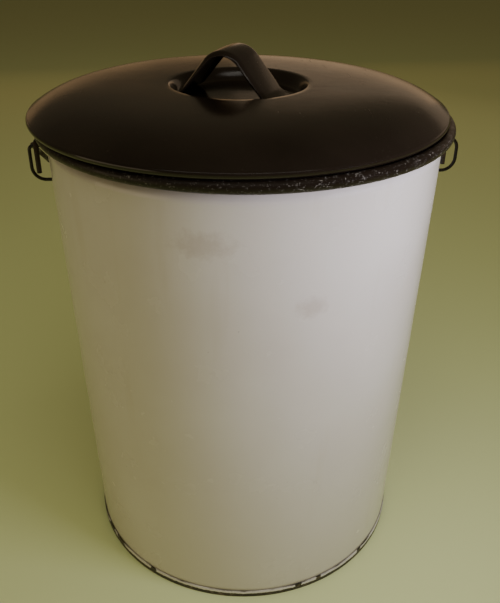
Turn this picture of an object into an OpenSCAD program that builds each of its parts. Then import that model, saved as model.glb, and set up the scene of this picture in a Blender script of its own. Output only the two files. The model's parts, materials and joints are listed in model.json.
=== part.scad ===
/* [Pail] */
// Outside radius of the wall where it enters the bottom hem
base_r = 131; // [100:0.5:160]
// Outside radius of the wall at the rim
mouth_r = 140; // [110:0.5:170]
// Height of the centre of the rolled rim
rim_z = 350.3; // [250:0.1:420]
// Outside radius of the rolled rim's section
rim_roll_r = 4.2; // [3:0.1:6]
// Thickness of the enamelled sheet
sheet = 1; // [0.8:0.1:1.2]

/* [Bottom] */
// Height of the folded hem
hem_h = 6.5; // [5:0.1:9]
// How far the hem stands proud of the wall
hem_proud = 1; // [0.8:0.1:1.2]
// How far the bottom panel is raised off the floor
panel_lift = 5.6; // [4:0.1:8]

/* [Lid] */
// Sideways play that the lid has taken up on the rim
lid_shift = -4.4; // [-5:0.1:5]
// Radius of the centre line of the lid's rolled edge
lid_roll_at = 143.8; // [142:0.1:146]
// Outside radius of the section of the lid's rolled edge
lid_roll_r = 2.8; // [2.2:0.1:3.5]
// Rise of the lid from its rolled edge to its crown
crown_rise = 14.7; // [8:0.1:25]
// How flat the crown is before it rolls down to the edge
crown_power = 7.2; // [2:0.1:12]
// Radius of the dished centre at its lip
dish_r = 49.5; // [46:0.5:55]
// Radius of the flat floor of the dish
dish_floor_r = 43; // [42:0.5:44]
// Depth of the dish
dish_depth = 8.5; // [5:0.1:12]
// Outside radius of the collar that keeps the lid on the mouth
collar_r = 133.5; // [130:0.1:134]
// Height of the foot of the collar above the floor
collar_foot_z = 346; // [335:0.5:352]

/* [Lid handle] */
// Direction of the strap handle, turned about the vertical
strap_turn = -25; // [-90:0.5:90]
// Width of the strap
strap_w = 38; // [30:0.5:38.5]
// Thickness of the strap
strap_t = 1.6; // [1.2:0.1:2]
// Slope of the strap's legs
strap_slope = 51; // [48:0.5:54]
// Bend radius at the top of the strap
strap_top_bend = 18.2; // [15:0.1:19]
// Height of the top of the strap above the floor
strap_top_z = 399; // [395:0.5:402]

/* [Ears and bail] */
// Wire of the ears
ear_wire = 2.5; // [2:0.1:3]
// Height of the bail's pivot line
pivot_z = 332; // [325:0.5:335]
// Distance of the left ear's outer leg from the pail's axis
ear_out_left = 155; // [154.8:0.1:160]
// Distance of the right ear's outer leg, which is bent out further, from the pail's axis
ear_out_right = 160; // [155:0.1:161]
// Height of the ears' lower leg
ear_low_z = 306.5; // [304:0.1:312]
// Wire of the bail
bail_wire_d = 3.6; // [3.2:0.1:3.8]
// Distance of the bail's hooks from the pail's axis
hook_at = 149.4; // [149.3:0.1:149.6]
// Distance of the bail's legs from the pail's axis
leg_at = 155; // [154:0.1:160]
// Reach of the bail from the pivot line to the middle of its grip
bail_reach = 172; // [165:0.5:185]
// Angle of the bail below level where it rests behind the pail
bail_rest = 29; // [20:0.5:29]
// Length of the grip
grip_l = 94; // [80:1:100]
// Radius of the grip at its middle
grip_r = 14; // [12:0.1:14]

/* [Hidden] */
$fn = 160;
fine = 32;
seam_gap = 0.25;
run_gap = 0.1;
roll_gap = 0.3;
strap_at = [-4.2, -3.8, 0];
wall_foot = 1.3;
roll_inset = 1.2;
roll_drop = 0.6;

rim_roll_at = mouth_r + rim_roll_r - roll_inset;
rim_top = rim_z + rim_roll_r;
rim_foot_z = rim_z - rim_roll_r - roll_drop;
lid_roll_z = rim_top + roll_gap + lid_roll_r;
// The crown runs into the rolled edge where both slope alike
meet_angle = 36;
meet_r = lid_roll_r - 0.08;
crown_r = lid_roll_at + meet_r * sin(meet_angle);
crown_z = lid_roll_z + meet_r * cos(meet_angle);
dish_floor_z = crown_z + crown_rise - dish_depth;
hook_r = ear_wire / 2 + run_gap + bail_wire_d / 2;
hook_wrap = 90 + bail_rest;
tail_l = 18.2;

// Outside radius of the wall at a height
function wall_r(z) = base_r + (mouth_r - base_r) * z / rim_z;

// Height of the lid's upper side at a radius
function ease(t) = (1 - cos(180 * min(1, max(0, t)))) / 2;
function crown(r) = crown_z + crown_rise * (1 - pow(r / crown_r, crown_power));
function dish(r) = dish_depth * ease((dish_r - r) / (dish_r - dish_floor_r));
function lid_top(r) = crown(r) - dish(r);

// Direction, turn and trimmed length at the corners of a bent bar
function way(p, i) = (p[i + 1] - p[i]) / norm(p[i + 1] - p[i]);
function turn(p, i) = let (a = way(p, i - 1), b = way(p, i)) atan2(cross(a, b), a * b);
function trim(p, bends, i) =
    i == 0 || i == len(p) - 1 ? 0 : bends[i - 1] * tan(abs(turn(p, i)) / 2);

// A bar bent in the XY plane through the points p, with one bend radius at each corner.
// Its section is the 2-D child, whose X lies across the bar in the plane. The section
// swells by $swell in the bends, and the straights reach a little way into them.
module bent_bar(p, bends) {
    reach = 0.05;
    for (i = [0 : len(p) - 2]) {
        w = way(p, i);
        near = i == 0 ? 0 : trim(p, bends, i) - reach;
        far = i == len(p) - 2 ? 0 : trim(p, bends, i + 1) - reach;
        $swell = 0;
        translate(p[i] + w * near) rotate([0, 0, atan2(w.y, w.x) - 90]) rotate([-90, 0, 0])
            linear_extrude(norm(p[i + 1] - p[i]) - near - far) children();
    }
    for (i = [1 : len(p) - 2]) {
        w = way(p, i - 1);
        side = sign(turn(p, i));
        centre = p[i] - w * trim(p, bends, i) + side * bends[i - 1] * [-w.y, w.x];
        from = atan2(w.y, w.x) - side * 90;
        $swell = 0.04;
        translate(centre) rotate([0, 0, side > 0 ? from : from + turn(p, i)])
            rotate_extrude(angle = abs(turn(p, i))) translate([bends[i - 1], 0]) children();
    }
}

// The section of the wall's sheet between two heights
module wall_section(low, high)
    polygon([[wall_r(low) - sheet, low], [wall_r(low), low],
             [wall_r(high), high], [wall_r(high) - sheet, high]]);

module body_shell() color("white") rotate_extrude() wall_section(wall_foot, rim_foot_z);

// The wall's upper edge, rolled outwards and open below by a narrow slot
module rim_roll() color("black") rotate_extrude() {
    slot_w = 0.6;
    slot_angle = 250;
    wall_section(rim_foot_z, rim_z);
    translate([rim_roll_at, rim_z]) difference() {
        circle(rim_roll_r, $fn = 64);
        circle(rim_roll_r - sheet, $fn = 64);
        rotate(slot_angle) translate([0, -slot_w / 2]) square([rim_roll_r * 2, slot_w]);
    }
}

module rim_wire() color("dimgray")
    rotate_extrude() translate([rim_roll_at, rim_z])
        circle(rim_roll_r - sheet - seam_gap, $fn = fine);

module bottom_disc() color("white") {
    hem_r = base_r + hem_proud;
    groove = 1.2;
    lip_h = 9;
    edge = 0.5;
    out = seam_gap;
    in = sheet + seam_gap;
    lip = in + sheet;
    panel_r = base_r - 7;
    tread_r = base_r - 2.6;
    rotate_extrude() union() {
        polygon([[0, panel_lift], [panel_r, panel_lift], [tread_r, 0], [hem_r - edge, 0],
                 [hem_r, edge], [hem_r, hem_h - edge / 2], [hem_r - edge / 2, hem_h],
                 [wall_r(hem_h) + out, hem_h], [wall_r(groove) + out, groove],
                 [wall_r(groove) - in, groove], [wall_r(lip_h) - in, lip_h],
                 [wall_r(lip_h) - lip, lip_h], [wall_r(panel_lift) - lip, panel_lift + sheet],
                 [0, panel_lift + sheet]]);
        translate([hem_r - edge, edge]) circle(edge, $fn = fine);
    }
}

// One wire ear in the XZ plane on the +X side, its two feet lying on the wall. Its top leg
// stays straight where the bail hooks over it and bends down just beyond
module ear(ear_out) {
    foot_flat = 0.5;
    past_hook = 0.4;
    sunk = ear_wire / 2 - foot_flat;
    top_bend = ear_out - hook_at - bail_wire_d / 2 - past_hook;
    foot_top = 343.5;
    foot_low = 294;
    difference() {
        rotate([90, 0, 0])
            bent_bar([[wall_r(foot_top) + sunk, foot_top], [wall_r(pivot_z) + sunk, pivot_z],
                      [ear_out, pivot_z], [ear_out, ear_low_z],
                      [wall_r(ear_low_z) + sunk, ear_low_z], [wall_r(foot_low) + sunk, foot_low]],
                     [2.6, top_bend, 9.5, 2.4])
                circle(d = ear_wire + $swell, $fn = fine);
        cylinder(r1 = wall_r(0) + seam_gap / 2, r2 = wall_r(rim_z) + seam_gap / 2, h = rim_z);
    }
}

module ear_right() color("dimgray") ear(ear_out_right);

module ear_left() color("dimgray") mirror([1, 0, 0]) ear(ear_out_left);

// The bail's pivot frame: Y runs out along the bail, Z square to it
module at_bail_rest() translate([0, 0, pivot_z]) rotate([-bail_rest, 0, 0]) children();

// One hook of the bail on the +X side, wrapped over the ear, with its tail hanging inside
module hook() {
    reach = 0.05;
    swell = 0.04;
    tip_d = 2;
    tip_l = 1.2;
    translate([hook_at, 0, 0]) rotate([90, 0, 90]) {
        rotate([0, 0, 90]) rotate_extrude(angle = hook_wrap)
            translate([hook_r, 0]) circle(d = bail_wire_d + swell, $fn = fine);
        rotate([0, 0, 90 + hook_wrap]) translate([hook_r, -reach, 0]) rotate([-90, 0, 0]) {
            cylinder(d = bail_wire_d, h = tail_l + reach, $fn = fine);
            translate([0, 0, tail_l + reach]) cylinder(d1 = bail_wire_d, d2 = tip_d, h = tip_l, $fn = fine);
        }
    }
}

module bail_wire() color("dimgray") at_bail_rest() {
    start = -0.05;
    crank = 4.5;
    leg = 12;
    crank_bend = 5;
    bow_bend = 100;
    translate([0, 0, hook_r])
        bent_bar([[hook_at, start], [hook_at, crank], [leg_at, leg], [leg_at, bail_reach],
                  [-leg_at, bail_reach], [-leg_at, leg], [-hook_at, crank], [-hook_at, start]],
                 [crank_bend, crank_bend, bow_bend, bow_bend, crank_bend, crank_bend])
            circle(d = bail_wire_d + $swell, $fn = fine);
    hook();
    mirror([1, 0, 0]) hook();
}

// A turned wooden roller: a barrel with a bead at each end
module bail_grip() color("saddlebrown") {
    bore_r = bail_wire_d / 2 + 0.075;
    end_r = grip_r * 0.72;
    bead_r = 2;
    neck = 6;
    neck_r = end_r - 1.2;
    bulge = 150;
    at_bail_rest() translate([0, bail_reach, hook_r]) rotate([0, 90, 0])
        rotate_extrude() difference() {
            union() {
                intersection() {
                    translate([0, -grip_l / 2 + neck]) square([grip_r, grip_l - 2 * neck]);
                    translate([grip_r - bulge, 0]) circle(bulge, $fn = 360);
                }
                for (side = [-1, 1])
                    translate([0, side * (grip_l - neck) / 2 - neck / 2 - 0.01])
                        square([neck_r, neck + 0.02]);
                for (side = [-1, 1])
                    translate([end_r - bead_r, side * (grip_l / 2 - bead_r)])
                        circle(bead_r, $fn = fine);
            }
            translate([-1, -grip_l]) square([bore_r + 1, 2 * grip_l]);
        }
}

// Points on an arc of the lid's rolled edge, from one angle to another
function roll_arc(r, from, to, steps) =
    [for (i = [0 : steps]) let (a = from + (to - from) * i / steps)
        [lid_roll_at + r * cos(a), lid_roll_z + r * sin(a)]];

// One outline: over the crown, round the rolled edge, back inside it and under the crown
module lid_shell() color([0.08, 0.07, 0.06]) translate([lid_shift, 0, 0]) {
    lip_steps = 12;
    crown_steps = 30;
    arc_steps = 40;
    roll_end = -160;
    inner_end = 60;
    under_r = lid_roll_at - 1.5;
    radii = concat([0, dish_floor_r],
        [for (i = [1 : lip_steps]) dish_floor_r + (dish_r - dish_floor_r) * i / lip_steps],
        [for (i = [1 : crown_steps - 1])
            dish_r + (crown_r - dish_r) * sin(90 * i / crown_steps)]);
    rotate_extrude() polygon(concat(
        [for (r = radii) [r, lid_top(r)]],
        roll_arc(lid_roll_r, 90 - meet_angle, roll_end, arc_steps),
        roll_arc(lid_roll_r - sheet, roll_end, inner_end, arc_steps),
        [for (i = [len(radii) - 1 : -1 : 0]) if (radii[i] < under_r)
            [radii[i], lid_top(radii[i]) - sheet]]));
}

module lid_collar() color([0.1, 0.09, 0.08]) translate([lid_shift, 0, 0]) {
    wall = 0.9;
    inner = collar_r - wall;
    under = sheet + 0.3;
    rotate_extrude() polygon([[inner, collar_foot_z], [collar_r, collar_foot_z],
                              [collar_r, lid_top(collar_r) - under],
                              [inner, lid_top(inner) - under]]);
}

// A wide strip bent to an arch, its feet trimmed to the round floor of the dish
module strap_handle() color([0.08, 0.07, 0.06]) translate([lid_shift, 0, 0])
    intersection() {
        foot_z = dish_floor_z + strap_t / 2;
        bend = strap_top_bend - strap_t / 2;
        apex_z = strap_top_z - strap_t / 2 + bend * (1 / cos(strap_slope) - 1);
        foot = (apex_z - foot_z) / tan(strap_slope);
        end = dish_floor_r + 6;
        foot_bend = 12;
        foot_gap = 0.3;
        rotate([0, 0, strap_turn]) translate(strap_at) rotate([90, 0, 0])
            bent_bar([[-end, foot_z], [-foot, foot_z], [0, apex_z], [foot, foot_z],
                      [end, foot_z]], [foot_bend, bend, foot_bend])
                union() {
                    square([strap_t + $swell, strap_w - strap_t], center = true);
                    for (side = [-1, 1]) translate([0, side * (strap_w - strap_t) / 2])
                        circle(d = strap_t + $swell, $fn = fine);
                }
        translate([0, 0, dish_floor_z - 1]) cylinder(r = dish_floor_r - foot_gap, h = strap_top_z);
    }

body_shell();
rim_roll();
rim_wire();
bottom_disc();
ear_left();
ear_right();
bail_wire();
bail_grip();
lid_shell();
lid_collar();
strap_handle();
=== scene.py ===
# %% [markdown]
# # A lidded enamel bucket
# The real object is a tall household pail of thin steel sheet, fired with white glass
# enamel, with a black rolled rim and a black lid. Its sizes, places and joints come from
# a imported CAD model, the frame, and this lesson gives every piece its finished shape and
# its material. Everything is in metres, in the frame's own place: the bucket's axis is Z,
# and the bail swings about a line along X.

import json
import math

import bmesh
import bpy
from mathutils import Matrix, Quaternion, Vector


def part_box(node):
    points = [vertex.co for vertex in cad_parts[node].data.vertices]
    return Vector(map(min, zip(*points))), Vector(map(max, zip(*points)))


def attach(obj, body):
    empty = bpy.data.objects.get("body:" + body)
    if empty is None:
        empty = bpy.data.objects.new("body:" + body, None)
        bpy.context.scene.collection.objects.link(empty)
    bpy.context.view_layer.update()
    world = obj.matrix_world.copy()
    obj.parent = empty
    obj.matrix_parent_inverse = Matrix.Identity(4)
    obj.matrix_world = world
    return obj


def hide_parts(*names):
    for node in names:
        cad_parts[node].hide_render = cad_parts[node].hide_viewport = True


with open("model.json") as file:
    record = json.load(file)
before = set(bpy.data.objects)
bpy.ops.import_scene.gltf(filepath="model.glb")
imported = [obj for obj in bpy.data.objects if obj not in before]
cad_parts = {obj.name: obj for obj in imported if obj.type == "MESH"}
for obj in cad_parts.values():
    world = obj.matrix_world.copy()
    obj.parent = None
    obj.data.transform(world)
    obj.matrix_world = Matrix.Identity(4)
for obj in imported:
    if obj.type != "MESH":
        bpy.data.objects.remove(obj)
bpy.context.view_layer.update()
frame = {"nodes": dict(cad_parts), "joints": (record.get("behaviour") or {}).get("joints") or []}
MM = 0.001

# %% [markdown]
# ## Sizes
# The frame says where each node lies, so the driving sizes are read from the nodes'
# boxes. What a box can't say, such as the sheet's thickness or the radius of a roll, is
# named here once in millimetres and used everywhere.

# %% Sizes taken from the frame
def size_of(node):
    low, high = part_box(node)
    return low / MM, high / MM


shell_low, shell_high = size_of("body_shell")
roll_low, roll_high = size_of("rim_roll")
hem_high = size_of("bottom_disc")[1]
lid_low, lid_high = size_of("lid_shell")
strap_high = size_of("strap_handle")[1]
ear_high = size_of("ear_right")[1]
grip_low, grip_high = size_of("bail_grip")

SHEET = 1.0
RIM_ROLL = 4.2
RIM_TOP = roll_high.z
RIM_R = roll_high.x - RIM_ROLL
RIM_Z = RIM_TOP - RIM_ROLL
HEM_R = hem_high.x
BASE_R = HEM_R - 1
MOUTH_R = RIM_R - RIM_ROLL + 1.2
LID_X = (lid_low.x + lid_high.x) / 2
LID_ROLL = 2.8
LID_R = (lid_high.x - lid_low.x) / 2 - LID_ROLL
LID_Z = lid_low.z + LID_ROLL
print("rim radius", round(RIM_R, 2), "rim height", round(RIM_Z, 2), "lid edge", round(LID_R, 2))

# %% [markdown]
# ## Camera
# The bucket stands below the eye, seen from about thirty degrees above level. The camera
# is placed by its direction from the axis, its height and its distance on the floor, and
# it looks a little past the axis. Its lens is a normal one for a sensor 36 mm wide.

# %% Place the camera
CAMERA_TURN = -4.5


def make_camera():
    turned = math.radians(CAMERA_TURN)
    away = 508.9 * MM
    height = 487.5 * MM
    look = Vector((0.0076, 0.8686, -0.4955))
    roll = 0.0062
    data = bpy.data.cameras.new("camera")
    data.sensor_width = 36
    data.lens = 42.39
    data.clip_start = 0.02
    camera = bpy.data.objects.new("camera", data)
    turn = Matrix.Rotation(turned, 3, "Z")
    camera.location = turn @ Vector((0, -away, 0)) + Vector((0, 0, height))
    aim = (turn @ look).to_track_quat("-Z", "Y")
    camera.rotation_mode = "QUATERNION"
    camera.rotation_quaternion = aim @ Quaternion((0, 0, 1), roll)
    bpy.context.scene.collection.objects.link(camera)
    bpy.context.scene.camera = camera
    return camera


camera = make_camera()
print("camera at", [round(v, 3) for v in camera.location])

# %% [markdown]
# ## Small helpers
# Colours are picked as sRGB hex values, which is how a paint chart gives them, and one
# function turns them to the linear values that the renderer works in. One function adds
# a node of any kind with its settings and its links, so each material below reads as a
# list of what its surface does.

# %% Colour and node helpers
def linear(hex_colour):
    def channel(c):
        c = c / 255
        return c / 12.92 if c <= 0.04045 else ((c + 0.055) / 1.055) ** 2.4
    parts = [int(hex_colour[i:i + 2], 16) for i in (1, 3, 5)]
    return tuple(channel(c) for c in parts) + (1.0,)


def fill(tree, node, *values, **inputs):
    """Set or link a node's inputs, in order or by name. A node stands for its first output."""
    live = [socket for socket in node.inputs if socket.enabled]
    chosen = list(zip(live, values))
    chosen += [(node.inputs[name.replace("_", " ")], value) for name, value in inputs.items()]
    for socket, value in chosen:
        if isinstance(value, bpy.types.Node):
            value = next(output for output in value.outputs if output.enabled)
        if isinstance(value, bpy.types.NodeSocket):
            tree.links.new(value, socket)
        else:
            socket.default_value = linear(value) if isinstance(value, str) else value


def add(tree, kind, *values, stops=(), **named):
    """Add a node. A second word in kind is its operation or data type, a name with a
    capital is an input, any other name is a setting, and stops are a colour ramp's."""
    kind, _, choice = kind.partition(" ")
    made = tree.nodes.new(kind if kind.startswith(("Geometry", "Node")) else "ShaderNode" + kind)
    if choice:
        setattr(made, "operation" if hasattr(made, "operation") else "data_type", choice)
    for name in [name for name in named if name[0].islower()]:
        setattr(made, name, named.pop(name))
    fill(tree, made, *values, **named)
    for number, (place, colour) in enumerate(stops):
        marks = made.color_ramp.elements
        mark = marks[number] if number < len(marks) else marks.new(place)
        mark.position = place
        mark.color = linear(colour) if isinstance(colour, str) else (colour,) * 3 + (1,)
    return made


print("enamel white in linear light", [round(c, 3) for c in linear("#e8e2de")])

# %% [markdown]
# A material here starts empty, gets one Principled shader, and is named for what the real
# surface is and how it was made. `per_mm` turns a size on the object into the scale of a
# texture, because a noise of scale 1 has features about one metre across.

# %% Start a material
def per_mm(size):
    return 1000.0 / size


def new_material(name, **constants):
    """A material with only its shader, and the object's own coordinates to draw patterns on."""
    material = bpy.data.materials.new(name)
    material.use_nodes = True
    tree = material.node_tree
    tree.nodes.clear()
    shader = add(tree, "BsdfPrincipled", **constants)
    add(tree, "OutputMaterial", Surface=shader)
    place = add(tree, "TexCoord").outputs["Object"]
    return material, tree, shader, place


def patches(tree, place, size, detail=2.0, rough=0.5, stretch=(1, 1, 1)):
    """Random patches of about this size in mm, long on an axis whose stretch is small."""
    moved = add(tree, "Mapping", Vector=place, Scale=stretch)
    return add(tree, "TexNoise", Vector=moved, Scale=per_mm(size), Detail=detail, Roughness=rough)


print("a 4 mm ripple has scale", per_mm(4))

# %% [markdown]
# ## White vitreous enamel
# Vitreous enamel is glass fused on steel. It is hard and glossy, and because it flowed
# while it was molten it lies in a faint ripple, like orange peel. Years of use leave thin
# tea-coloured stains that run down, and fine scuffs. Towards the bottom the colour turns a
# little yellower: painted light, bounced up from the floor. Where it is
# knocked it breaks off in shell shapes with a dark ground coat showing round the steel.

# %% Where a knock or a stain sits
MM_PER_DEGREE = 2.3


def around(tree, place):
    """The angle round the axis in degrees, 0 at the front and growing to the right, and
    the height in mm."""
    split = add(tree, "SeparateXYZ", place)
    front = add(tree, "Math MULTIPLY", split.outputs["Y"], -1.0)
    angle = add(tree, "Math ARCTAN2", split.outputs["X"], front)
    degrees = add(tree, "Math MULTIPLY", angle, 180 / math.pi)
    height = add(tree, "Math DIVIDE", split.outputs["Z"], MM)
    return degrees, height


def spot(tree, angle, height, at, tall, wide, ragged):
    """1 inside an oval this tall and wide in mm, at (degrees, mm), and 0 past its ragged edge."""
    across = add(tree, "Math SUBTRACT", angle, at[0])
    across = add(tree, "Math DIVIDE", across, wide / MM_PER_DEGREE)
    up = add(tree, "Math SUBTRACT", height, at[1])
    up = add(tree, "Math DIVIDE", up, tall)
    across_squared = add(tree, "Math MULTIPLY", across, across)
    up_squared = add(tree, "Math MULTIPLY", up, up)
    far = add(tree, "Math SQRT", add(tree, "Math ADD", across_squared, up_squared))
    torn = add(tree, "Math ADD", far, ragged)
    return add(tree, "Math SUBTRACT", 1.5, torn, use_clamp=True)


def white_enamel():
    material, tree, shader, place = new_material(
        "vitreous_enamel_white_fired", IOR=1.5, Coat_Weight=0.35, Coat_Roughness=0.06)
    angle, height = around(tree, place)
    full_height = 350.0
    mottle = add(tree, "ValToRGB", patches(tree, place, 90, 3),
                 stops=[(0.3, "#d9d0cb"), (0.7, "#e2dbd7")])
    # Painted light: the colour turns yellower towards the bottom, a painted tint of light bounced
    # up from the floor.
    painted_bounce_low = add(tree, "ValToRGB", add(tree, "Math DIVIDE", height, full_height),
                 stops=[(0.0, 0.55), (0.85, 0.0)])
    mottled_with_painted_bounce = add(tree, "Mix RGBA", painted_bounce_low, mottle, "#c6bda6")
    runs = add(tree, "ValToRGB", patches(tree, place, 26, 4, 0.6, (1, 1, 0.12)),
               stops=[(0.58, 0.0), (0.74, 0.22)])
    streaked = add(tree, "Mix RGBA", runs, mottled_with_painted_bounce, "#c2b49f")
    torn = add(tree, "Math SUBTRACT", patches(tree, place, 5, 5, 0.65), 0.5)
    ragged = add(tree, "Math MULTIPLY", torn, 2.4)
    stain_left = spot(tree, angle, height, (-14.5, 312), 7, 14, ragged)
    stain_right = spot(tree, angle, height, (13, 268), 6, 8, ragged)
    stain = add(tree, "Math ADD", stain_left, stain_right, use_clamp=True)
    faint = add(tree, "Math MULTIPLY", stain, 0.26)
    stained = add(tree, "Mix RGBA", faint, streaked, "#9a7f72")
    fleck = add(tree, "ValToRGB", patches(tree, place, 3.2, 2), stops=[(0.76, 0.0), (0.79, 1.0)])
    rare = add(tree, "ValToRGB", patches(tree, place, 60, 2), stops=[(0.5, 0.0), (0.62, 0.55)])
    flecks = add(tree, "Math MULTIPLY", fleck, rare)
    flecked = add(tree, "Mix RGBA", flecks, stained, "#5b4a3c")
    worn = add(tree, "ValToRGB", patches(tree, place, 35, 4), stops=[(0.35, 0.16), (0.7, 0.3)])
    slow = add(tree, "Math MULTIPLY", patches(tree, place, 55, 1), 5.0)
    ripple = add(tree, "Math ADD", patches(tree, place, 7, 2), slow)
    relief = add(tree, "Bump", Height=ripple, Distance=0.05 * MM)
    fill(tree, shader, Base_Color=flecked, Roughness=worn, Normal=relief)
    return material


WHITE = white_enamel()
print("made", WHITE.name)

# %% [markdown]
# ## Black enamel of the lid
# The lid and the rim have the same glass with a black pigment. On so dark a ground only
# the reflections show, so its gloss carries the whole look: a soft uneven polish, faint
# dust and hairline scratches, and a warm brown cast from the iron in the glass.

# %% Black enamel, polished by use
def black_enamel(name, wear):
    material, tree, shader, place = new_material(name, IOR=1.5)
    tint = add(tree, "ValToRGB", patches(tree, place, 60, 4),
               stops=[(0.3, "#17110d"), (0.7, "#211a15")])
    slow = add(tree, "Math MULTIPLY", patches(tree, place, 45, 1), 4.0)
    ripple = add(tree, "Math ADD", patches(tree, place, 6, 2), slow)
    relief = add(tree, "Bump", Height=ripple, Distance=0.04 * MM)
    if wear:
        often = add(tree, "ValToRGB", patches(tree, place, 55, 2),
                    stops=[(0.4, 0.82), (0.62, 1.0)])
        chance = add(tree, "Math MULTIPLY", patches(tree, place, 5, 4, 0.7, (1, 1, 2.2)), often)
        bare = add(tree, "ValToRGB", chance, stops=[(0.6, 0.0), (0.66, 1.0)])
        rubbed = add(tree, "ValToRGB", patches(tree, place, 1.8, 4, 0.7),
                     stops=[(0.58, 0.0), (0.7, 0.7)])
        chips = add(tree, "Math MAXIMUM", bare, rubbed)
        colour = add(tree, "Mix RGBA", chips, tint, "#85807b")
        dull = add(tree, "ValToRGB", patches(tree, place, 7, 4, 0.7),
                   stops=[(0.35, 0.28), (0.7, 0.5)])
        fill(tree, shader, Specular_IOR_Level=0.3)
    else:
        dust = add(tree, "ValToRGB", patches(tree, place, 2.5, 5, 0.7),
                   stops=[(0.62, 0.0), (0.8, 0.16)])
        colour = add(tree, "Mix RGBA", dust, tint, "#6a6157")
        scratch = add(tree, "ValToRGB", patches(tree, place, 1.6, 3, 0.6, (1, 0.05, 1)),
                      stops=[(0.66, 0.0), (0.7, 0.1)])
        polish = add(tree, "ValToRGB", patches(tree, place, 45, 4),
                     stops=[(0.3, 0.13), (0.7, 0.21)])
        dull = add(tree, "Math ADD", polish, scratch)
    fill(tree, shader, Base_Color=colour, Roughness=dull, Normal=relief)
    return material


BLACK = black_enamel("vitreous_enamel_black_fired", wear=False)
RIM_BLACK = black_enamel("vitreous_enamel_black_rim_chipped", wear=True)
print("made", BLACK.name, "and", RIM_BLACK.name)

# %% [markdown]
# ## Lathe tree
# The wall, the bottom, the lid, its collar and the wooden grip are all round, so one
# Geometry Nodes tree turns any outline into a solid of revolution. A grid gives the
# points: one side of it follows the outline and the other goes round the axis. The seam
# and the poles are closed by merging, and a slow noise leaves the slight unevenness of
# hand-finished sheet.

# %% Build the lathe tree
def socket_id(tree, name):
    for item in tree.interface.items_tree:
        if item.name == name and item.in_out == "INPUT":
            return item.identifier


def tree_with(name, sockets):
    tree = bpy.data.node_groups.new(name, "GeometryNodeTree")
    tree.interface.new_socket("Geometry", in_out="INPUT", socket_type="NodeSocketGeometry")
    for label, kind, value in sockets:
        item = tree.interface.new_socket(label, in_out="INPUT", socket_type="NodeSocket" + kind)
        if value is not None:
            item.default_value = value
    tree.interface.new_socket("Geometry", in_out="OUTPUT", socket_type="NodeSocketGeometry")
    return tree, add(tree, "NodeGroupInput"), add(tree, "NodeGroupOutput")


def lathe_tree():
    tree, given, out = tree_with("lathe_outline", [
        ("Steps round", "Int", 256), ("Wobble height", "Float", 0.0),
        ("Wobble size", "Float", 0.1), ("Finish", "Material", None)])
    outline = given.outputs["Geometry"]
    steps = given.outputs["Steps round"]
    position = add(tree, "GeometryNodeInputPosition")
    count = add(tree, "GeometryNodeAttributeDomainSize", outline)
    columns = add(tree, "Math ADD", steps, 1.0)
    grid = add(tree, "GeometryNodeMeshGrid", Vertices_X=count, Vertices_Y=columns)
    index = add(tree, "GeometryNodeInputIndex")
    nudged = add(tree, "Math ADD", index, 0.5)
    row = add(tree, "Math FLOOR", add(tree, "Math DIVIDE", nudged, columns))
    column = add(tree, "Math SUBTRACT", index, add(tree, "Math MULTIPLY", row, columns))
    angle = add(tree, "Math DIVIDE", add(tree, "Math MULTIPLY", column, 2 * math.pi), steps)
    picked = add(tree, "GeometryNodeSampleIndex", Geometry=outline, Index=row, Value=position,
                 data_type="FLOAT_VECTOR")
    point = add(tree, "SeparateXYZ", picked)
    placed = add(
        tree, "CombineXYZ", Z=point.outputs["Z"],
        X=add(tree, "Math MULTIPLY", point.outputs["X"], add(tree, "Math COSINE", angle)),
        Y=add(tree, "Math MULTIPLY", point.outputs["X"], add(tree, "Math SINE", angle)))
    turned = add(tree, "GeometryNodeSetPosition", Geometry=grid, Position=placed)
    closed = add(tree, "GeometryNodeMergeByDistance", Geometry=turned, Distance=0.000002)
    waves = add(tree, "Math DIVIDE", 1.0, given.outputs["Wobble size"])
    wave = add(tree, "TexNoise", Vector=position, Scale=waves, Detail=1.0)
    lift = add(tree, "Math MULTIPLY", add(tree, "Math SUBTRACT", wave, 0.5),
               given.outputs["Wobble height"])
    outward = add(tree, "VectorMath MULTIPLY", (1, 1, 0), position)
    radial = add(tree, "VectorMath NORMALIZE", outward)
    push = add(tree, "VectorMath SCALE", radial, Scale=lift)
    uneven = add(tree, "GeometryNodeSetPosition", Geometry=closed, Offset=push)
    smooth = add(tree, "GeometryNodeSetShadeSmooth", uneven)
    real = add(tree, "GeometryNodeRealizeInstances", smooth)
    finished = add(tree, "GeometryNodeSetMaterial", Geometry=real,
                   Material=given.outputs["Finish"])
    fill(tree, out, finished)
    return tree


LATHE = lathe_tree()
print("lathe tree has", len(LATHE.nodes), "nodes")

# %% [markdown]
# A tree works on an outline or a path, which is a mesh of points joined by edges. The
# result is turned into a plain mesh with nothing live left on it. Its faces are then made
# to point outwards, which a closed shell allows.

# %% Run a tree on a line of points
def line_mesh(name, points, closed=False):
    mesh = bpy.data.meshes.new(name)
    edges = [(i, i + 1) for i in range(len(points) - 1)]
    if closed:
        edges.append((len(points) - 1, 0))
    mesh.from_pydata([Vector(p) * MM for p in points], edges, [])
    return mesh


def run_tree(name, tree, mesh, inputs):
    source = bpy.data.objects.new(name + "_line", mesh)
    bpy.context.scene.collection.objects.link(source)
    modifier = source.modifiers.new("tree", "NODES")
    modifier.node_group = tree
    for label, value in inputs.items():
        modifier[socket_id(tree, label)] = value
    graph = bpy.context.evaluated_depsgraph_get()
    made = bpy.data.meshes.new_from_object(source.evaluated_get(graph))
    bpy.data.objects.remove(source)
    made.name = name
    shape = bmesh.new()
    shape.from_mesh(made)
    bmesh.ops.recalc_face_normals(shape, faces=shape.faces)
    shape.to_mesh(made)
    shape.free()
    piece = bpy.data.objects.new(name, made)
    bpy.context.scene.collection.objects.link(piece)
    return piece


WOBBLE_SIZE = 120


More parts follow.
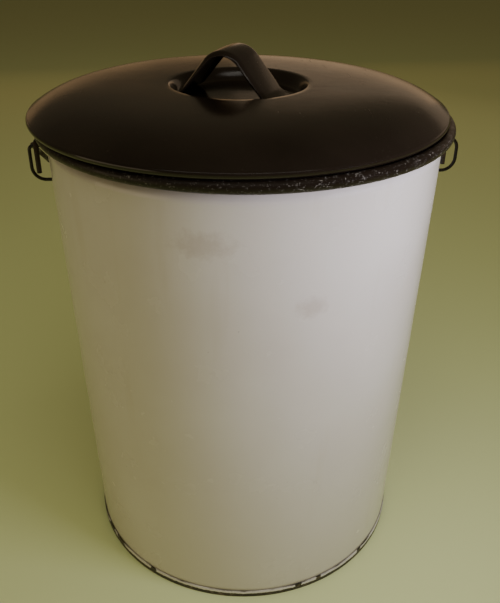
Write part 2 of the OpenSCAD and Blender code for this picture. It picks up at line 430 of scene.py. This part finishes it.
def lathe(name, outline, material, steps, wobble=0.0):
    points = [(r, 0, z) for r, z in outline]
    return run_tree(name, LATHE, line_mesh(name, points), {
        "Steps round": steps, "Wobble height": wobble * MM, "Wobble size": WOBBLE_SIZE * MM,
        "Finish": material})


def faces_of(piece):
    piece.data.calc_loop_triangles()
    return len(piece.data.loop_triangles)


def shift(piece, offset):
    piece.data.transform(Matrix.Translation(Vector(offset) * MM))


# %% [markdown]
# Outlines are given by their corners, and every corner is rounded by a short arc, because
# pressed and enamelled sheet has no sharp edge. The same function bends a wire's route.

# %% Round the corners of an outline or a route
def rounded(points, radii, steps=8, closed=False):
    points = [Vector(p) for p in points]
    count = len(points)
    result = []
    for i, corner in enumerate(points):
        radius = radii[i] if isinstance(radii, (list, tuple)) else radii
        ends = not closed and i in (0, count - 1)
        if ends or radius == 0:
            result.append(corner)
            continue
        before = (points[i - 1] - corner).normalized()
        after = (points[(i + 1) % count] - corner).normalized()
        half = before.angle(after) / 2
        middle = corner + (before + after).normalized() * radius / math.sin(half)
        first = corner + before * radius / math.tan(half) - middle
        last = corner + after * radius / math.tan(half) - middle
        sweep = first.angle(last)
        for k in range(steps + 1):
            t = k / steps
            mix = math.sin((1 - t) * sweep) * first + math.sin(t * sweep) * last
            result.append(middle + mix / math.sin(sweep))
    return result


def arc(centre, radius, start, stop, steps):
    angles = [math.radians(start + (stop - start) * k / steps) for k in range(steps + 1)]
    return [Vector((centre[0] + radius * math.cos(a), centre[1] + radius * math.sin(a)))
            for a in angles]


def divided(start, stop, steps):
    start, stop = Vector(start), Vector(stop)
    return [start.lerp(stop, k / steps) for k in range(steps)]


def wall_r(z):
    return BASE_R + (MOUTH_R - BASE_R) * z / RIM_Z


print("wall radius half way up", round(wall_r(RIM_Z / 2), 2))

# %% [markdown]
# ## Wall and rolled rim
# The wall rises with a slight taper, and its top edge is rolled outwards over a wire into
# a round bead. The bead is fired black, so it is a piece of its own, and the two meet just
# under it. The wall comes first: a thin open cone, closed round both its edges.

# %% Make the wall
def wall_outline():
    foot, top = shell_low.z, shell_high.z
    outside = divided((wall_r(foot), foot), (wall_r(top), top), 40)
    inside = divided((wall_r(top) - SHEET, top), (wall_r(foot) - SHEET, foot), 40)
    corners = [(wall_r(foot) - SHEET, foot), (wall_r(foot), foot)]
    return outside + [(wall_r(top), top)] + inside + corners


wall = lathe("enamelled_wall", wall_outline(), WHITE, steps=288, wobble=0.25)
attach(wall, "bucket")
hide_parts("body_shell")
print("wall has", faces_of(wall), "triangles")

# %% [markdown]
# The rim's outline goes up its outside, through the inside of the roll, back over the roll
# and down the inside. So the rim is really hollow, and ends in a narrow slot under the bead.

# %% Make the rolled rim
def rim_outline():
    slot = -108
    below_bead = 1.5
    centre = (RIM_R, RIM_Z)
    foot, meet = roll_low.z, RIM_Z - below_bead
    outside = divided((wall_r(foot), foot), (wall_r(meet), meet), 4)
    inner_roll = arc(centre, RIM_ROLL - SHEET, 180, slot, 36)
    outer_roll = arc(centre, RIM_ROLL, slot, 180, 44)
    inside = [(wall_r(foot) - SHEET, foot), (wall_r(foot), foot)]
    return outside + inner_roll + outer_roll + inside


rim = lathe("rolled_rim", rim_outline(), RIM_BLACK, steps=288)
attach(rim, "bucket")
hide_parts("rim_roll")
print("rim has", faces_of(rim), "triangles")

# %% [markdown]
# ## Bottom and hem
# The bottom is a pressed pan. Its edge folds up round the foot of the wall as a hem a
# little proud of it, and the pail stands on that fold. The hem is the part that scrapes
# on floors, so its lower edge was fired black and has chipped.

# %% Hem enamel, chipped to the black ground
def hem_enamel():
    material, tree, shader, place = new_material(
        "vitreous_enamel_hem_chipped", IOR=1.5, Coat_Weight=0.2, Coat_Roughness=0.1)
    angle, height = around(tree, place)
    coarse = add(tree, "Math SUBTRACT", patches(tree, place, 9, 5, 0.7), 0.5)
    fine = add(tree, "Math SUBTRACT", patches(tree, place, 2.2, 4, 0.7), 0.5)
    waver = add(tree, "Math ADD", add(tree, "Math MULTIPLY", coarse, 2.2),
                add(tree, "Math MULTIPLY", fine, 1.4))
    centimetres = add(tree, "Math DIVIDE", add(tree, "Math ADD", height, waver), 10.0)
    foot = add(tree, "ValToRGB", centimetres, stops=[(0.375, 1.0), (0.415, 0.0)])
    seam = add(tree, "ValToRGB", centimetres, stops=[(0.585, 0.0), (0.625, 1.0)])
    broken = add(tree, "ValToRGB", patches(tree, place, 26, 3, 0.6),
                 stops=[(0.4, 0.15), (0.6, 1.0)])
    knock = add(tree, "ValToRGB", patches(tree, place, 14, 3, 0.6),
                stops=[(0.67, 0.0), (0.69, 1.0)])
    dark = add(tree, "Math MAXIMUM", foot, add(tree, "Math MULTIPLY", seam, broken))
    dark = add(tree, "Math MAXIMUM", dark, knock)
    torn = add(tree, "Math MULTIPLY", fine, 2.0)
    for at, wide in ((-66, 9), (-58, 7), (-39, 3), (15, 3), (23, 2.5), (43, 3)):
        chip = spot(tree, angle, height, (at, 4), 5, wide, torn)
        sharp = add(tree, "ValToRGB", chip, stops=[(0.5, 0.0), (0.62, 1.0)])
        dark = add(tree, "Math MAXIMUM", dark, sharp)
    rust = add(tree, "ValToRGB", patches(tree, place, 4, 4),
               stops=[(0.35, "#1c1512"), (0.55, "#33241b"), (0.75, "#6b5a4c")])
    colour = add(tree, "Mix RGBA", dark, "#dcd5cd", rust)
    rough = add(tree, "ValToRGB", dark, stops=[(0.0, 0.2), (1.0, 0.55)])
    glass = add(tree, "Math SUBTRACT", 1.0, dark)
    relief = add(tree, "Bump", Height=glass, Distance=0.18 * MM)
    fill(tree, shader, Base_Color=colour, Roughness=rough, Normal=relief)
    return material


HEM = hem_enamel()


def bottom_outline():
    pan_z = 5.6
    fold_z = 1.2
    gap = 0.25
    lip_top = hem_high.z
    hem_top = 6.5
    inner = SHEET + gap
    lip = inner + SHEET
    corners = [
        ((0, pan_z), 0), ((BASE_R - 7, pan_z), 3), ((BASE_R - 2.6, 0), 1.2),
        ((HEM_R, 0), 0.8), ((HEM_R, hem_top), 0.35), ((wall_r(hem_top) + gap, hem_top), 0.1),
        ((wall_r(fold_z) + gap, fold_z), 0.1), ((wall_r(fold_z) - inner, fold_z), 0.1),
        ((wall_r(lip_top) - inner, lip_top), 0.3), ((wall_r(lip_top) - lip, lip_top), 0.3),
        ((wall_r(pan_z) - lip, pan_z + SHEET), 0.6), ((0, pan_z + SHEET), 0)]
    return rounded([c for c, _ in corners], [r for _, r in corners], 6)


def paint_where(piece, material, test):
    piece.data.materials.append(material)
    number = len(piece.data.materials) - 1
    for face in piece.data.polygons:
        middle = face.center / MM
        if test(Vector((middle.x, middle.y)).length, middle.z):
            face.material_index = number


bottom = lathe("bottom_pan_and_hem", bottom_outline(), HEM, steps=288)
paint_where(bottom, WHITE, lambda r, z: r < BASE_R - 1.5 and z > 1.5)
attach(bottom, "bucket")
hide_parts("bottom_disc")
print("bottom has", faces_of(bottom), "triangles")

# %% [markdown]
# ## Lid
# The lid's shape follows a rule. From its middle it stays almost flat and then rolls down
# ever faster to the edge, which a high power of the radius gives, and a cosine ease sinks
# the dish in its centre. The edge itself is a hollow roll, like the rim's but thinner.

# %% Make the lid
CROWN_POWER = 7.2
MEET_ANGLE = math.radians(36)
CROWN_R = LID_R + (LID_ROLL - 0.08) * math.sin(MEET_ANGLE)
CROWN_Z = LID_Z + (LID_ROLL - 0.08) * math.cos(MEET_ANGLE)
DISH_R = 49.5
DISH_FLOOR_R = 43
DISH_DEPTH = 8.5
CROWN_RISE = 14.7


def lid_top(r):
    sunk = min(1, max(0, (DISH_R - r) / (DISH_R - DISH_FLOOR_R)))
    dish = DISH_DEPTH * (1 - math.cos(math.pi * sunk)) / 2
    return CROWN_Z + CROWN_RISE * (1 - (r / CROWN_R) ** CROWN_POWER) - dish


def lid_outline():
    lip_steps, crown_steps = 14, 44
    last_r = CROWN_R - 0.15
    radii = [0, DISH_FLOOR_R * 0.5, DISH_FLOOR_R * 0.9]
    radii += [DISH_FLOOR_R + (DISH_R - DISH_FLOOR_R) * k / lip_steps for k in range(lip_steps)]
    radii += [DISH_R + (last_r - DISH_R) * math.sin(math.pi / 2 * k / crown_steps)
              for k in range(crown_steps + 1)]
    upper = [Vector((r, lid_top(r))) for r in radii]
    outer_roll = arc((LID_R, LID_Z), LID_ROLL, 90 - math.degrees(MEET_ANGLE), -160, 26)
    inner_roll = arc((LID_R, LID_Z), LID_ROLL - SHEET * 0.9, -160, 60, 22)
    lower = [Vector((r, lid_top(r) - SHEET)) for r in reversed(radii) if r < LID_R - 1.5]
    return upper + outer_roll + inner_roll + lower


lid = lathe("domed_lid", lid_outline(), BLACK, steps=288)
shift(lid, (LID_X, 0, 0))
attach(lid, "lid")
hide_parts("lid_shell")
print("lid has", faces_of(lid), "triangles, dish floor at", round(lid_top(0), 2))

# %% [markdown]
# A plain ring under the lid drops inside the rim and keeps the lid in its place. Its
# outline is a closed loop, so the ring is solid, and its top stays just under the crown.

# %% Make the collar under the lid
def collar_outline():
    low, high = size_of("lid_collar")
    outer = (high.x - low.x) / 2
    inner = outer - 0.9
    top = lid_top(outer) - SHEET - 0.3
    return rounded([(inner, low.z), (outer, low.z), (outer, top), (inner, top)], 0.4, 6, True)


def closed_loop(outline):
    return outline + [outline[0]]


collar = lathe("locating_collar", closed_loop(collar_outline()), BLACK, steps=192)
shift(collar, (LID_X, 0, 0))
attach(collar, "lid")
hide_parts("lid_collar")
print("collar has", faces_of(collar), "triangles")

# %% [markdown]
# ## Strap handle
# The handle is a wide strip bent into an arch, its feet welded in the dish. Its section
# is crowned and its long edges are turned under, so that it doesn't cut the hand. A mesh
# swept along the bent route makes it: each station of the route gets one closed section.

# %% Make the strap handle
STRAP_TURN = math.radians(-25)
STRAP_AT = (-4.2, -3.8)
STRAP_SLOPE = math.radians(51)
STRAP_W = 38
STRAP_T = 1.6
STRAP_BEND = 18.2
STRAP_FAR = DISH_FLOOR_R - 0.4


def strap_route():
    foot_z = lid_top(0) + STRAP_T / 2
    bend = STRAP_BEND - STRAP_T / 2
    apex_z = strap_high.z - STRAP_T / 2 + bend * (1 / math.cos(STRAP_SLOPE) - 1)
    foot = (apex_z - foot_z) / math.tan(STRAP_SLOPE)
    corners = [(-STRAP_AT[0] - STRAP_FAR, foot_z), (-foot, foot_z), (0, apex_z),
               (foot, foot_z), (-STRAP_AT[0] + STRAP_FAR, foot_z)]
    return rounded(corners, [0, 12, bend, 12, 0], 20)


def strap_section(fold):
    """A strip's cross section whose long edges turn down by fold times a right angle."""
    half, bend_r, lip, crown = STRAP_W / 2, 2.6, 0.3, 0.6
    flat = half - bend_r - STRAP_T / 2
    line = [(flat * k / 8, -crown * (flat * k / 8 / half) ** 2, 0.0) for k in range(9)]
    step = math.pi / 2 * bend_r / 8
    for k in range(1, 9):
        x, y, _ = line[-1]
        slope = fold * math.pi / 2 * k / 8
        line.append((x + step * math.cos(slope), y - step * math.sin(slope), slope))
    x, y, slope = line[-1]
    line.append((x + lip * math.cos(slope), y - lip * math.sin(slope), slope))
    right = [(-x, y, -a) for x, y, a in reversed(line[1:])] + line
    upper = [(x + math.sin(a) * STRAP_T / 2, y + math.cos(a) * STRAP_T / 2) for x, y, a in right]
    lower = [(x - math.sin(a) * STRAP_T / 2, y - math.cos(a) * STRAP_T / 2) for x, y, a in right]
    return upper + list(reversed(lower))


def strap_limits(along):
    """How far the strip may reach to either side before it leaves the dish's floor."""
    reach = math.sqrt(max(0.01, STRAP_FAR ** 2 - (along + STRAP_AT[0]) ** 2))
    return max(-STRAP_W / 2, -STRAP_AT[1] - reach), min(STRAP_W / 2, -STRAP_AT[1] + reach)


def strap_handle():
    route = strap_route()
    shape = bmesh.new()
    rings = []
    for i, point in enumerate(route):
        ahead = (route[min(i + 1, len(route) - 1)] - route[max(i - 1, 0)]).normalized()
        up = Vector((-ahead.y, ahead.x))
        fold = 0.7 * min(1, max(0, (point.y - route[0].y) / 9))
        section = strap_section(fold)
        widest = max(side for side, _ in section)
        low, high = strap_limits(point.x)
        ring = []
        for side, rise in section:
            t = (side / widest + 1) / 2
            at = point + up * rise
            ring.append(shape.verts.new((at.x * MM, (low + (high - low) * t) * MM, at.y * MM)))
        rings.append(ring)
    for one, two in zip(rings, rings[1:]):
        for k in range(len(one)):
            n = (k + 1) % len(one)
            shape.faces.new((one[k], one[n], two[n], two[k]))
    shape.faces.new(rings[0])
    shape.faces.new(reversed(rings[-1]))
    bmesh.ops.recalc_face_normals(shape, faces=shape.faces)
    mesh = bpy.data.meshes.new("strap_handle_pressed")
    shape.to_mesh(mesh)
    shape.free()
    for face in mesh.polygons:
        face.use_smooth = True
    mesh.materials.append(BLACK)
    piece = bpy.data.objects.new("strap_handle_pressed", mesh)
    bpy.context.scene.collection.objects.link(piece)
    shift(piece, (STRAP_AT[0], STRAP_AT[1], 0))
    mesh.transform(Matrix.Rotation(STRAP_TURN, 4, "Z"))
    shift(piece, (LID_X, 0, 0))
    return piece


strap = strap_handle()
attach(strap, "lid")
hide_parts("strap_handle")
print("strap has", faces_of(strap), "triangles")

# %% [markdown]
# ## Wire tree
# The ears and the bail are round wire that follows a bent route. A second tree sweeps a
# circle along any route and caps its ends, so every wire is one line of points and a
# diameter.

# %% Build the wire tree
def wire_tree():
    tree, given, out = tree_with("wire_along_route", [
        ("Diameter", "Float", 0.003), ("Sides", "Int", 24), ("Finish", "Material", None)])
    route = add(tree, "GeometryNodeMeshToCurve", given.outputs["Geometry"])
    radius = add(tree, "Math MULTIPLY", given.outputs["Diameter"], 0.5)
    section = add(tree, "GeometryNodeCurvePrimitiveCircle", Resolution=given.outputs["Sides"],
                  Radius=radius)
    swept = add(tree, "GeometryNodeCurveToMesh", Curve=route, Profile_Curve=section,
                Fill_Caps=True)
    smooth = add(tree, "GeometryNodeSetShadeSmooth", swept)
    real = add(tree, "GeometryNodeRealizeInstances", smooth)
    finished = add(tree, "GeometryNodeSetMaterial", Geometry=real,
                   Material=given.outputs["Finish"])
    fill(tree, out, finished)
    return tree


WIRE = wire_tree()


def wire(name, route, diameter, material):
    return run_tree(name, WIRE, line_mesh(name, route), {
        "Diameter": diameter * MM, "Sides": 24, "Finish": material})


print("wire tree has", len(WIRE.nodes), "nodes")

# %% [markdown]
# ## Wire finishes
# The ears were enamelled with the pail, and the swinging bail has worn its enamel through
# to dark iron with brown rust where it rubs. Rust is rough and has no gloss, so the same
# mask that colours it also dulls it.

# %% Enamelled and rusted wire
def iron_wire(name, coat, rust_share):
    material, tree, shader, place = new_material(name, IOR=1.5)
    grain = patches(tree, place, 3, 5, 0.7)
    blotches = patches(tree, place, 16, 3)
    both = add(tree, "Math ADD", add(tree, "Math MULTIPLY", grain, 0.5),
               add(tree, "Math MULTIPLY", blotches, 0.5))
    rusty = add(tree, "ValToRGB", both,
                stops=[(0.62 - rust_share, 0.0), (0.7 - rust_share, 1.0)])
    rust = add(tree, "ValToRGB", grain,
               stops=[(0.3, "#1a120e"), (0.6, "#2e1f16"), (0.8, "#4a3324")])
    colour = add(tree, "Mix RGBA", rusty, coat, rust)
    rough = add(tree, "ValToRGB", rusty, stops=[(0.0, 0.28), (1.0, 0.75)])
    relief = add(tree, "Bump", Height=grain, Distance=0.06 * MM)
    fill(tree, shader, Base_Color=colour, Roughness=rough, Normal=relief)
    return material


EAR_IRON = iron_wire("enamelled_iron_wire_ear", "#100c0a", 0.1)
BAIL_IRON = iron_wire("worn_iron_wire_bail", "#1b1715", 0.14)

EAR_WIRE = ear_high.y * 2 - 0.04
PIVOT_Z = frame["joints"][1]["pos_m"][2] / MM
print("ear wire", round(EAR_WIRE, 2), "mm, pivot line at", round(PIVOT_Z, 1), "mm")

# %% [markdown]
# Each ear is a ring of wire that stands out from the wall. Its top end turns up and its
# low end turns down against the sheet, and both are welded there. The bail hooks over the
# top leg, so that leg stays straight to just past the hook and bends only there.

# %% Make the ears
BAIL_WIRE = 3.6
HOOK_AT = 149.4
PAST_HOOK = 0.4
EAR_DROP = 25.5
EAR_TOP_END = 343.5
EAR_LOW_END = 294
WELD_DEPTH = 0.5


def ear_route(out):
    sunk = EAR_WIRE / 2 - WELD_DEPTH
    low_z = PIVOT_Z - EAR_DROP
    top_bend = out - (HOOK_AT + BAIL_WIRE / 2 + PAST_HOOK)
    places = [(wall_r(EAR_TOP_END) + sunk, EAR_TOP_END), (wall_r(PIVOT_Z) + sunk, PIVOT_Z),
              (out, PIVOT_Z), (out, low_z),
              (wall_r(low_z) + sunk, low_z), (wall_r(EAR_LOW_END) + sunk, EAR_LOW_END)]
    bends = [0, 2.6, top_bend, 9.5, 2.4, 0]
    return rounded([(x, 0, z) for x, z in places], bends, 12)


def mirrored(route):
    return [Vector((-p.x, p.y, p.z)) for p in route]


left_low = size_of("ear_left")[0]
RIGHT_EAR = ear_route(ear_high.x - EAR_WIRE / 2)
LEFT_EAR = mirrored(ear_route(-left_low.x - EAR_WIRE / 2))
for name, node, route in (("wire_ear_right", "ear_right", RIGHT_EAR),
                          ("wire_ear_left", "ear_left", LEFT_EAR)):
    ear = wire(name, route, EAR_WIRE, EAR_IRON)
    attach(ear, "bucket")
    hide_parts(node)
    print(name, "has", faces_of(ear), "triangles")

# %% [markdown]
# ## Bail
# The bail is one length of stiff wire. Each end is hooked over the top leg of an ear and
# its tail hangs inside the ring. The route is worked out flat, as if the bail lay level
# behind the pail, and then tilted down to where it rests.

# %% Make the bail
LEG_AT = 155
REACH = 172
REST = math.radians(29)
EAR_WIRE_R = 1.25
HOOK_GAP = 0.1
HOOK_R = EAR_WIRE_R + HOOK_GAP + BAIL_WIRE / 2
TAIL = 18.2


def at_rest(points):
    tilt = Matrix.Rotation(-REST, 3, "X")
    return [tilt @ Vector(p) + Vector((0, 0, PIVOT_Z)) for p in points]


def bail_route():
    half = [((HOOK_AT, 0), 0), ((HOOK_AT, 4.5), 5), ((LEG_AT, 12), 5), ((LEG_AT, REACH), 100)]
    other = [((-x, y), r) for (x, y), r in reversed(half)]
    flat = rounded([c for c, _ in half + other], [r for _, r in half + other], 14)
    bow = [(p.x, p.y, HOOK_R) for p in flat]
    wrap = math.pi / 2 + REST
    steps = 16
    hook = [(HOOK_AT, -HOOK_R * math.sin(wrap * k / steps), HOOK_R * math.cos(wrap * k / steps))
            for k in range(1, steps + 1)]
    down = Vector((0, -math.cos(wrap), -math.sin(wrap)))
    tip = Vector(hook[-1]) + down * TAIL
    end = tip + down
    start = [tuple(end), tuple(tip)] + list(reversed(hook))
    finish = [(-x, y, z) for x, y, z in reversed(start)]
    return at_rest(start + bow + finish)


bail = wire("wire_bail", bail_route(), BAIL_WIRE, BAIL_IRON)
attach(bail, "bail")
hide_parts("bail_wire")
print("bail has", faces_of(bail), "triangles")

# %% [markdown]
# ## Wooden grip
# The roller is turned from beech, stained and then darkened by hands. Its grain runs
# along the roller, so the noise that draws it is stretched that way, and the lathe leaves
# a cut bead at each end.

# %% Turned beech
def turned_beech(middle):
    material, tree, shader, place = new_material(
        "beech_turned_and_stained", IOR=1.5, Coat_Weight=0.1, Coat_Roughness=0.3)
    centred = add(tree, "Mapping", Vector=place, Location=tuple(-c for c in middle))
    grain = patches(tree, centred, 2.2, 4, 0.6, (0.06, 1, 1))
    pores = patches(tree, centred, 0.9, 2, 0.6, (0.12, 1, 1))
    tone = add(tree, "ValToRGB", grain,
               stops=[(0.3, "#5e3b20"), (0.5, "#84582f"), (0.7, "#9b6d3f")])
    specks = add(tree, "ValToRGB", pores, stops=[(0.62, 0.0), (0.7, 0.7)])
    handled = add(tree, "ValToRGB", patches(tree, centred, 30, 2),
                  stops=[(0.4, 0.0), (0.7, 0.45)])
    speckled = add(tree, "Mix RGBA", specks, tone, "#3a2413")
    colour = add(tree, "Mix RGBA", handled, speckled, "#3f2a1a")
    rough = add(tree, "ValToRGB", grain, stops=[(0.3, 0.55), (0.7, 0.42)])
    relief = add(tree, "Bump", Height=add(tree, "Math ADD", grain, pores), Distance=0.06 * MM)
    fill(tree, shader, Base_Color=colour, Roughness=rough, Normal=relief)
    return material


# %% [markdown]
# The roller is a barrel: its middle is a little thicker than its ends, and each end is cut
# down to a short neck. It is turned upright by the same lathe and then laid along the
# bail, with a bore just wide enough for the wire.

# %% Make the grip
BARREL = 2.6
NECK_SHARE = 0.72


def grip_outline():
    half = (grip_high.x - grip_low.x) / 2
    bore = BAIL_WIRE / 2 + 0.075
    full = (grip_high.z - grip_low.z) / 2
    end_r = full * NECK_SHARE
    corners = [(bore, -half), (end_r, -half), (end_r, -half + 4), (end_r - 1.2, -half + 6)]
    belly = [(full - (x / (half - 6)) ** 2 * BARREL, x) for x in
             [(half - 6) * (2 * k / 20 - 1) for k in range(21)]]
    near = rounded(corners, [0, 1.4, 1.2, 0.3], 6)
    far = [Vector((p.x, -p.y)) for p in reversed(near)]
    return near + belly + far + [near[0]]


def place_grip(piece):
    middle = (grip_low + grip_high) / 2
    piece.data.transform(Matrix.Rotation(math.pi / 2, 4, "Y"))
    shift(piece, middle)


BEECH = turned_beech(((grip_low + grip_high) / 2) * MM)
grip = lathe("turned_grip", grip_outline(), BEECH, steps=96)
place_grip(grip)
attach(grip, "grip")
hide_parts("bail_grip")
print("grip has", faces_of(grip), "triangles")

# %% [markdown]
# The wire that the rim is rolled round lies hidden in the bead, so it keeps its CAD shape
# and only gets the bail's iron in place of its plain CAD colour.

# %% Finish the wire inside the rim
frame["nodes"]["rim_wire"].data.materials.clear()
frame["nodes"]["rim_wire"].data.materials.append(BAIL_IRON)
print("rim wire stays the CAD node, hidden in the roll")

# %% [markdown]
# ## Studio
# A plain pale floor and six soft lights. A wide panel overhead lights the room, and a
# small key stands close on the right. Neither shows in the gloss, which would otherwise
# mirror them as white patches. A thin strip in front draws a bright line along the rolled
# edges, and a warm fill stands low on the left. Two wide panels behind give the black lid
# something to reflect, because gloss without surroundings shows as plain black.

# %% Floor, lights and world
def make_floor():
    mesh = bpy.data.meshes.new("studio_floor")
    wide = 6
    mesh.from_pydata([(-wide, -wide, 0), (wide, -wide, 0), (wide, wide, 0), (-wide, wide, 0)],
                     [], [(0, 1, 2, 3)])
    floor = bpy.data.objects.new("studio_floor", mesh)
    bpy.context.scene.collection.objects.link(floor)
    material, *_ = new_material("matt_painted_floor", Roughness=0.8, Base_Color="#dae3a6")
    mesh.materials.append(material)


def soft_light(name, azimuth, away, height, wide, tall, power, colour, aim=0.2,
               shines=True):
    """A soft panel; azimuth is in degrees to the right of the camera, seen from the pail."""
    data = bpy.data.lights.new(name, "AREA")
    data.shape = "RECTANGLE"
    data.size = wide
    data.size_y = tall
    data.energy = power
    data.color = linear(colour)[:3]
    light = bpy.data.objects.new(name, data)
    turned = math.radians(azimuth + CAMERA_TURN)
    light.location = (away * math.sin(turned), -away * math.cos(turned), height)
    towards = Vector((0, 0, aim)) - light.location
    light.rotation_mode = "QUATERNION"
    light.rotation_quaternion = towards.to_track_quat("-Z", "Y")
    light.visible_camera = False
    light.visible_glossy = shines
    bpy.context.scene.collection.objects.link(light)
    return light


def make_world(colour, strength):
    world = bpy.data.worlds.new("soft_room")
    world.use_nodes = True
    background = world.node_tree.nodes["Background"]
    fill(world.node_tree, background, Color=colour, Strength=strength)
    bpy.context.scene.world = world


make_floor()
soft_light("overhead_soft", 5, 0.5, 1.6, 1.4, 1.4, 9, "#f6f4cc", aim=0.0, shines=False)
soft_light("strip_front", 0, 1.2, 1.5, 2.2, 0.06, 1.6, "#f4efe4", aim=0.3)
soft_light("key_right", 48, 0.42, 0.38, 0.2, 0.12, 1.45, "#f1efff", aim=0.34, shines=False)
soft_light("fill_left", -62, 1.5, 0.22, 1.2, 0.6, 2.1, "#ffe4bc")
soft_light("panel_back_right", 150, 1.6, 0.6, 1.9, 0.4, 0.72, "#ffdcb8", aim=0.37)
soft_light("panel_back", 188, 1.9, 0.5, 2.6, 0.4, 0.9, "#ffc98c", aim=0.37)
make_world("#d0bb95", 0.14)
